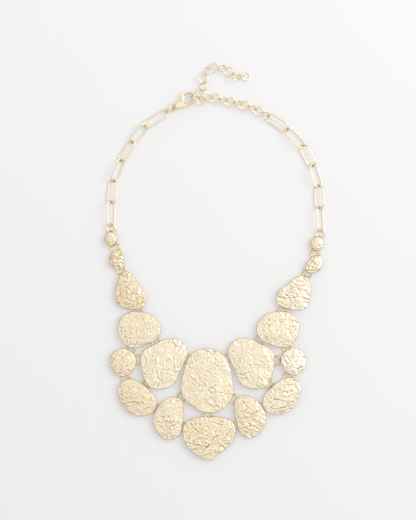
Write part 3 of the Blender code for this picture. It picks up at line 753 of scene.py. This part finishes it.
def roundRing(middle, along, tilt, radius, wire, steps=52):
    # torus: a tube along a tilted circle
    along, across, normal = tiltedFrame(along, tilt)
    angles = np.linspace(0, fullCircle, steps, endpoint=False)[:, None]
    line = middle + (along * np.cos(angles) + across * np.sin(angles)) * radius
    return tube(line, normal, wire / 2, wire / 2)


def extenderRing(middle, along, tilt):
    return roundRing(middle, along, tilt, chain["extenderRadius"], chain["extenderWire"])


def cutRing(middle, along, slitAt):
    # open jump ring: a circle of wire whose two flat ends nearly meet
    along, across, normal = tiltedFrame(along, 0)
    slit = chain["slit"] / chain["ringRadius"]
    angles = (math.radians(slitAt) + np.linspace(slit, fullCircle - slit, 56))[:, None]
    line = middle + (along * np.cos(angles) + across * np.sin(angles)) * chain["ringRadius"]
    return sweep(line, normal, chain["ringWire"], chain["ringWire"], 1.0, 14)


def longLink(start, end, tilt):
    # two straight sides and two half circles, each end past its neighbour's wire
    along, across, normal = tiltedFrame(end - start, tilt)
    radius = chain["linkWidth"] / 2
    half = (np.linalg.norm(end - start) + chain["linkWire"] - chain["linkBite"]) / 2 - radius
    angles = np.linspace(-math.pi / 2, math.pi / 2, chain["linksArc"])[:, None]
    bow = along * (half + radius * np.cos(angles)) + across * radius * np.sin(angles)
    straight = np.linspace(0, 1, 14)[1:-1][:, None]
    back = bow[-1] * (1 - straight) - bow[0] * straight
    line = np.concatenate([bow, back, -bow, -back]) + (start + end) / 2
    return tube(line, normal, chain["linkWire"] / 2, chain["linkWire"] / 2)


def leaningHeight(tilt):
    # height of the middle of an extender ring that leans on the table
    return chain["extenderRadius"] * math.sin(math.radians(tilt)) + chain["extenderWire"] / 2


def endSlip(height, tilt):
    # how far a link's tilted end reaches past the middle of the round ring's wire
    drop = (height - chain["ringHeight"]) / math.sin(math.radians(abs(tilt)))
    level = drop * math.cos(math.radians(tilt))
    aroundEnd = chain["linkWidth"] / 2 - math.sqrt((chain["linkWidth"] / 2) ** 2 - drop ** 2)
    return aroundEnd + chain["ringRadius"] - math.sqrt(chain["ringRadius"] ** 2 - level ** 2)


def spacedAlong(route, pitch):
    # points at one pitch along a smooth curve through the route
    fine = openLine(route, 40)
    lengths = np.concatenate([[0], np.cumsum(np.linalg.norm(np.diff(fine, axis=0), axis=1))])
    count = max(1, math.floor(lengths[-1] / pitch))
    targets = np.linspace(0, lengths[-1], count + 1)
    return np.stack([np.interp(targets, lengths, fine[:, k]) for k in range(3)], axis=-1)


def claspTurned(x, y):
    turn = math.radians(clasp["turn"])
    return x * math.cos(turn) - y * math.sin(turn), x * math.sin(turn) + y * math.cos(turn)


def claspPoint(share):
    x, y = claspTurned(*share)
    return flat3((clasp["place"][0] + x * clasp["length"], clasp["place"][1] + y * clasp["length"]))


def onTable(parts):
    points, faces = joinParts(parts)
    points[:, :2] += tableShift
    return points, faces


def bearingShade(parts, spots, reach):
    # painted shade: 1 at the spots where links cross, 0 beyond the reach
    points, _ = joinParts(parts)
    shade = np.zeros(len(points))
    for spot in spots:
        away = np.linalg.norm(points - spot, axis=1)
        shade = np.maximum(shade, smoothStep(reach, reach * 0.45, away))
    return shade


def makePaperclips(side, start, route, tilts, firstParts):
    # six long links from start to the round ring that holds the bead, and the bead's eye for it
    ringMiddle = flat3(np.array(topRings[side]) * bib["width"])
    bead = side + "_bead"
    fromBead = unit(ringMiddle - flat3(np.array(nuggets[bead]["at"]) * bib["width"]))
    steepest = math.radians(max(abs(tilt) for tilt in tilts))
    height = chain["linkWidth"] / 2 * math.sin(steepest) + chain["linkWire"] / 2
    upwards = unit(flat3(route[-1]) - ringMiddle)
    overlap = (chain["ringWire"] - chain["linkBite"]) / 2
    top = ringMiddle + upwards * (chain["ringRadius"] - overlap - endSlip(height, tilts[-1]))
    spots = np.array([start, *(flat3(knot) for knot in route), top])
    spots[:, 2] = height
    eyes[bead].append(((ringMiddle - fromBead * chain["ringRadius"])[:2] + tableShift, fromBead[:2]))
    parts = list(firstParts)
    for first, second, tilt in zip(spots, spots[1:], tilts):
        parts.append(longLink(first, second, tilt))
    middle = ringMiddle + upright * chain["ringHeight"]
    parts.append(roundRing(middle, upwards, 0, chain["ringRadius"], chain["ringWire"]))
    crossings = [*spots, middle - fromBead * chain["ringRadius"]]
    points, faces = onTable(parts)
    meshPiece(
        "paperclipLinks" + side.title(), "paperclip_chain_" + side, points, faces, chainGold, "chain_gold",
        paintedShades=bearingShade(parts, crossings, 1.5))


claspHeight = leaningHeight(chain["hookTilt"])
extenderHeight = leaningHeight(chain["extenderTilt"])
eyeSpot = claspPoint(clasp["eyeMiddle"])
backWay = unit(flat3(leftRoute[0]) - eyeSpot)
claspRing = eyeSpot + backWay * chain["extenderRadius"] + upright * claspHeight
leftStart = claspRing + backWay * (chain["extenderRadius"] - (chain["extenderWire"] - chain["linkBite"]) / 2)
claspLink = extenderRing(claspRing, backWay, -chain["hookTilt"])
makePaperclips("left", leftStart, leftRoute, leftTilts, [claspLink])
makePaperclips("right", flat3(rightStart), rightRoute, rightTilts, [])
print("paperclip chains made")


# extender chain and end ring

hookTurn = math.radians(clasp["hookedTurn"])
hookWay = flat3((math.cos(hookTurn), math.sin(hookTurn)))
hooked = claspPoint(clasp["hooked"]) + upright * claspHeight
linkWay = unit(flat3(rightRoute[0]) - flat3(rightStart))


def onHookedRing(degrees):
    # a point of the wire of the ring that the clasp holds
    way, lift, _ = tiltedFrame(hookWay, -chain["hookTilt"])
    turn = math.radians(degrees)
    return hooked + (way * math.cos(turn) + lift * math.sin(turn)) * chain["extenderRadius"]


def ringRow(spots, firstTilt, lastAhead=None):
    # round rings along the spots, in turn flatter and steeper
    parts = []
    for index, spot in enumerate(spots):
        along = spots[min(index + 1, len(spots) - 1)] - spots[max(index - 1, 0)]
        if lastAhead is not None and index == len(spots) - 1:
            along = lastAhead
        tilt = -chain["extenderTilt"] if index % 2 else firstTilt
        parts.append(extenderRing(spot, along, tilt))
    return parts


def extenderSpots():
    # middles of the rings of the worn stretch and of the free tail, from the hooked ring on
    seat = chain["extenderRadius"] - chain["extenderWire"] + chain["extenderBite"]
    pitch = 2 * chain["extenderRadius"] - chain["extenderWire"] + chain["extenderBite"]
    loose = (chain["extenderWire"] + chain["linkBite"]) / 2 + chain["looseGap"]
    wornLast = flat3(rightStart) - linkWay * (chain["extenderRadius"] - loose)
    worn = [onHookedRing(wornLeaves) + np.array(wornWay) * seat]
    worn += [flat3(point, extenderHeight) for point in (*wornRoute, wornLast)]
    tail = [onHookedRing(tailLeaves) + np.array(tailWay) * seat]
    tail += [flat3(point, extenderHeight) for point in tailRoute]
    return spacedAlong(np.array(worn), pitch), spacedAlong(np.array(tail), pitch)


wornSpots, tailSpots = extenderSpots()
endWay = flat3(endRingPlace) - tailSpots[-1]
endWay = unit([endWay[0], endWay[1], 0])
wires = (chain["extenderWire"] + chain["tailLinkWire"]) / 2
linkStep = chain["extenderRadius"] + chain["tailLinkRadius"] + chain["extenderBite"] - wires
linkPlace = tailSpots[-1] + endWay * linkStep
lowest = chain["tailLinkRadius"] * math.sin(math.radians(chain["tailLinkTilt"])) + chain["tailLinkWire"] / 2
linkPlace[2] = max(lowest, extenderHeight - chain["tailLinkDrop"])

tailLink = roundRing(
    linkPlace, endWay, chain["tailLinkTilt"], chain["tailLinkRadius"], chain["tailLinkWire"], 40)
extenderParts = ringRow(wornSpots, chain["wornTilt"], linkWay)
extenderParts.append(extenderRing(hooked, hookWay, -chain["hookTilt"]))
extenderParts += ringRow(tailSpots, chain["tailTilt"]) + [tailLink]
crossings = [(first + second) / 2 for row in (wornSpots, tailSpots) for first, second in zip(row, row[1:])]
crossings += [onHookedRing(wornLeaves), onHookedRing(tailLeaves), linkPlace]
meshPiece(
    "extenderLinks", "extender_chain", *onTable(extenderParts), chainGold, "chain_gold",
    paintedShades=bearingShade(extenderParts, crossings, 1.3))

slopedWay = endWay - upright * chain["endSlope"]
wires = (chain["tailLinkWire"] + chain["endWire"]) / 2
endPlace = linkPlace + slopedWay * (chain["tailLinkRadius"] + chain["endRadius"] - wires - chain["looseGap"])
endPlace[2] = chain["endWire"] / 2 + chain["endRadius"] * chain["endSlope"] / np.linalg.norm(slopedWay)
endRing = roundRing(endPlace, slopedWay, 0, chain["endRadius"], chain["endWire"], 64)
meshPiece("tailEndRing", "end_ring", *onTable([endRing]), endGold, "end_ring_gold")
print("extender chain made:", len(extenderParts), "rings")


# jump rings, their slits turned differently, and nuggets with their eyes

for number, (node, middle, towards) in enumerate(pairs):
    slitAt = 35 + 250 * (number % 2) + 7 * number % 40
    points, faces = cutRing(middle, flat3(towards), slitAt)
    meshPiece("jump_" + node[5:], node, points, faces, ringGold, "ring_gold")
print("jump rings made:", len(pairs))

for number, (node, v) in enumerate(nuggets.items()):
    points, faces, paintedShades = nuggetSurface(node, v, 101 + 37 * number)
    staples = [eyeStaple(place, towards) for place, towards in eyes[node]]
    points, faces = joinParts([(points, faces), *staples])
    paintedShades = np.concatenate([paintedShades, np.full(len(points) - len(paintedShades), bib["eyeTone"])])
    meshPiece("cast_" + node, node, points, faces, nuggetGold, "nugget_gold", paintedShades=paintedShades)
print("nuggets made:", len(nuggets))


# clasp: shares of its length along and across it, heights in mm about its middle

claspForms = {
    # along, across, width of the hook from its root to its nose
    "hook": (
        (0.49, -0.112, 0.085), (0.56, -0.122, 0.09), (0.64, -0.123, 0.088), (0.72, -0.114, 0.086),
        (0.82, -0.076, 0.087), (0.893, 0.005, 0.088), (0.930, 0.095, 0.090), (0.910, 0.178, 0.086),
        (0.845, 0.240, 0.078), (0.760, 0.272, 0.074), (0.700, 0.268, 0.066), (0.652, 0.258, 0.058),
    ),
    "cheek": (
        (0.158, 0.0), (0.172, 0.052), (0.218, 0.090), (0.285, 0.126), (0.36, 0.147), (0.435, 0.138),
        (0.49, 0.098), (0.518, 0.040), (0.538, -0.02), (0.572, -0.066), (0.612, -0.098), (0.618, -0.138),
        (0.56, -0.160), (0.46, -0.148), (0.36, -0.118), (0.27, -0.098), (0.205, -0.082), (0.168, -0.048),
    ),
    "cheekMiddle": (0.34, 0.0),
    # share of the cheek's reach, and height over its inner face
    "cheekDome": (
        (0.3, 0.0), (0.7, 0.0), (0.97, 0.0), (1.0, 0.04), (0.995, 0.1), (0.97, 0.19), (0.92, 0.27),
        (0.85, 0.335), (0.75, 0.39), (0.6, 0.435), (0.4, 0.46), (0.2, 0.47),
    ),
    "spine": (
        (0.17, -0.055, 0.05), (0.27, -0.07, 0.05), (0.37, -0.105, 0.04), (0.48, -0.118, 0.05),
        (0.56, -0.12, 0.06),
    ),
    "neck": ((0.175, 0.0, 0.15), (0.22, 0.0, 0.16), (0.265, 0.0, 0.17)),
    "bar": (
        (0.452, 0.020, 0.10), (0.464, 0.060, 0.110), (0.490, 0.125, 0.118), (0.526, 0.195, 0.112),
        (0.566, 0.245, 0.094), (0.598, 0.272, 0.062),
    ),
    "tab": (
        (0.492, 0.14, 0.085), (0.508, 0.20, 0.098), (0.527, 0.265, 0.098), (0.536, 0.315, 0.080),
        (0.531, 0.362, 0.060), (0.516, 0.400, 0.042),
    ),
    "eyeBand": 0.042, "hookHeights": (2.0, 2.0, 2.0, 1.9, 1.5), "spineHeight": 1.9, "neckHeight": 1.85,
    "cheekIn": 0.6, "pinRadius": 0.5, "pinCore": 0.42, "pinFoot": 0.85, "pinDome": 1.09,
    "hubRadius": 0.78, "barHeight": 0.65, "tabHeights": (0.6, 0.6, 0.5),
}


def claspSweep(rows, heights, sides=20, square=0.92, ends=0.35):
    # a sweep along rows of along, across and width, its heights spread evenly from root to tip
    rows = openLine(rows, 7)
    path = np.stack([rows[:, 0], rows[:, 1], np.zeros(len(rows))], axis=-1) * clasp["length"]
    heights = np.interp(np.linspace(0, 1, len(rows)), np.linspace(0, 1, len(heights)), heights)
    path, widths, heights = roundEnds(path, ends, rows[:, 2] * clasp["length"], heights)
    return sweep(path, upright, widths, heights, square, sides)


def pillow(outline, middle, levels):
    # star-shaped closed outline, smoothed, in loops of (share of reach, height), closed at both ends
    middle = np.asarray(middle) * clasp["length"]
    line = closedLine(np.asarray(outline) * clasp["length"], 6)
    loops = [
        np.column_stack([middle + (line - middle) * share, np.full(len(line), height)])
        for share, height in levels]
    points = np.concatenate([*loops, [[*middle, levels[0][1]]], [[*middle, levels[-1][1]]]])
    ring = np.arange(len(line))
    count = len(loops) * len(line)
    low = fanFaces(ring, count)
    high = fanFaces(ring + count - len(line), count + 1)[:, [0, 2, 1]]
    return points, [gridFaces(len(loops), len(line), False, True), low, high]


def disc(middle, radius, low, high):
    # round rivet head: straight side, then a dome
    turns = np.linspace(0, fullCircle, 24, endpoint=False)
    ringShape = np.stack([np.cos(turns), np.sin(turns)], axis=-1)
    outline = np.asarray(middle) + ringShape[::-1] * radius / clasp["length"]
    shape = (
        (0.6, low), (1.0, low), (1.0, low + (high - low) * 0.5), (0.94, high - 0.04), (0.8, high - 0.01),
        (0.4, high))
    return pillow(outline, middle, shape)


def flatCircle(share, radius, steps):
    # a level circle around a place of the clasp
    angles = np.linspace(0, fullCircle, steps, endpoint=False)[:, None]
    circle = np.concatenate([np.cos(angles), np.sin(angles), 0 * angles], axis=1)
    return flat3(np.array(share) * clasp["length"]) + radius * circle


def claspPiece(name, node, parts, material, slot, body, shadeFrom, shadeTo):
    # parts joined, turned and placed on the table, with painted shade: deeper gold down their sides
    points, faces = joinParts(parts)
    shade = 0.5 * smoothStep(shadeFrom, shadeTo, np.abs(points[:, 2]))
    x, y = claspTurned(points[:, 0], points[:, 1])
    points = np.stack([x + clasp["place"][0], y + clasp["place"][1], points[:, 2] + claspHeight], axis=-1)
    points[:, :2] += tableShift
    meshPiece(name, node, points, faces, material, slot, body, shade)


def makeClasp():
    f = claspForms
    band = f["eyeBand"] * clasp["length"]
    eyeLine = flatCircle(clasp["eyeMiddle"], clasp["eyeHole"] * clasp["length"] + band / 2, 44)
    inner = f["cheekIn"]
    up = tuple((share, inner + height) for share, height in f["cheekDome"])
    down = tuple((share, -height) for share, height in up[::-1])
    pin = clasp["pivot"]
    bodyParts = [
        tube(eyeLine, upright, band / 2 + 0.02, 0.92, 16),
        claspSweep(f["hook"], f["hookHeights"]),
        claspSweep(f["spine"], (f["spineHeight"],)),
        claspSweep(f["neck"], (f["neckHeight"],)),
        pillow(f["cheek"], f["cheekMiddle"], up),
        pillow(f["cheek"], f["cheekMiddle"], down),
        disc(pin, f["pinRadius"], f["pinFoot"], f["pinDome"]),
        disc(pin, f["pinRadius"], -f["pinDome"], -f["pinFoot"]),
        disc(pin, f["pinCore"], -inner - 0.05, inner + 0.05),
    ]
    leverParts = [
        tube(flatCircle(pin, f["hubRadius"], 32), upright, 0.13, 0.32, 10),
        claspSweep(f["bar"], (f["barHeight"],), sides=16, square=0.75, ends=0.25),
        claspSweep(f["tab"], f["tabHeights"], sides=16, square=0.8, ends=0.25),
    ]
    claspPiece("lobsterBody", "clasp_body", bodyParts, claspGold, "clasp_gold", "necklace", 1.0, 0.4)
    claspPiece("lobsterLever", "clasp_lever", leverParts, leverGold, "lever_gold", "lever", 0.34, 0.15)


makeClasp()
print("clasp made")


# floor, lights, camera and surroundings, in metres but for the floor and the photo's scale

studio = {
    "floorLow": (0.515, 0.518, 0.523), "floorHigh": (0.592, 0.598, 0.600), "floorFall": (1.2, 2.0, 0.0),
    "floorGlowTint": (1.0, 0.985, 1.005), "floorGlow": 0.31, "floorHalf": 3000.0,
    "keyPlace": (1.05, 0.42, 1.15), "keySize": 1.1, "keyGlow": 2.9, "keyColour": (1.0, 0.995, 0.985),
    "softPlace": (0.1, 0.1, 1.9), "softSize": 2.0, "softGlow": 0.31, "softColour": (1.0, 1.0, 1.0),
    "bright": (0.85, 0.852, 0.856), "dark": (0.40, 0.32, 0.22), "lean": (0.18, 0.38, 0.6),
    "scale": 0.56, "photo": (416, 520), "middlePixel": (214.8, 261.0), "height": 1.1,
}


def addFloor():
    corners = np.array([[-1, -1, 0], [1, -1, 0], [1, 1, 0], [-1, 1, 0]]) * studio["floorHalf"] + [0, 0, -0.02]
    mesh = bpy.data.meshes.new("floor")
    mesh.from_pydata((corners * mm).tolist(), [], [(0, 1, 2, 3)])
    s = Shader(bpy.data.materials.new("paperWhite"))
    place = s.node("ShaderNodeTexCoord", output=3)
    fall = s.along(place, studio["floorFall"])
    # painted light falloff: the floor is darker towards the lower left, paler towards the upper right
    s.feed("Base Color", s.mix((fall + 0.5).clamped(), studio["floorLow"], studio["floorHigh"]))
    s.feed("Roughness", 0.9)
    # painted light: the glow's slight lavender tint gives the pale shadows their lavender cast
    s.feed("Emission Color", studio["floorGlowTint"])
    s.feed("Emission Strength", studio["floorGlow"])    # painted light: the floor glows, so its shadows stay pale
    mesh.materials.append(s.owner)
    floor = bpy.data.objects.new("floor", mesh)
    bpy.context.scene.collection.objects.link(floor)


def addLight(name):
    # round softbox: watts from the wanted brightness of its face, glow x pi x area
    size = studio[name + "Size"]
    place = studio[name + "Place"]
    data = bpy.data.lights.new(name + "Light", "AREA")
    data.shape = "DISK"
    data.size = size
    data.energy = studio[name + "Glow"] * math.pi * math.pi * size * size / 4
    data.color = studio[name + "Colour"]
    light = bpy.data.objects.new(name + "Light", data)
    light.location = place
    light.rotation_euler = (-Vector(place)).to_track_quat("-Z", "Y").to_euler()
    bpy.context.scene.collection.objects.link(light)


def addCamera():
    # straight down, framed as the photo: its height in mm at the table fills the sensor's height
    data = bpy.data.cameras.new("camera")
    data.sensor_fit = "VERTICAL"
    data.sensor_height = 36
    viewHeight = studio["photo"][1] * studio["scale"] * mm
    data.lens = 36 * studio["height"] / viewHeight
    data.clip_end = 20
    camera = bpy.data.objects.new("camera", data)
    x = (studio["photo"][0] / 2 - studio["middlePixel"][0]) * studio["scale"] + tableShift[0]
    y = (studio["middlePixel"][1] - studio["photo"][1] / 2) * studio["scale"] + tableShift[1]
    camera.location = (x * mm, y * mm, studio["height"])
    bpy.context.scene.collection.objects.link(camera)
    bpy.context.scene.camera = camera


def addSurroundings():
    # bright overhead and behind, dark low in front
    s = Shader(bpy.data.worlds.new("studioAir"), "Background")
    lean = s.along(s.node("ShaderNodeTexCoord"), studio["lean"])
    s.feed("Color", s.mix((lean + 0.5).clamped(), studio["dark"], studio["bright"]))
    bpy.context.scene.world = s.owner


addFloor()
addLight("key")
addLight("soft")
addCamera()
addSurroundings()
bpy.context.scene.view_settings.view_transform = "Standard"
print("studio made")
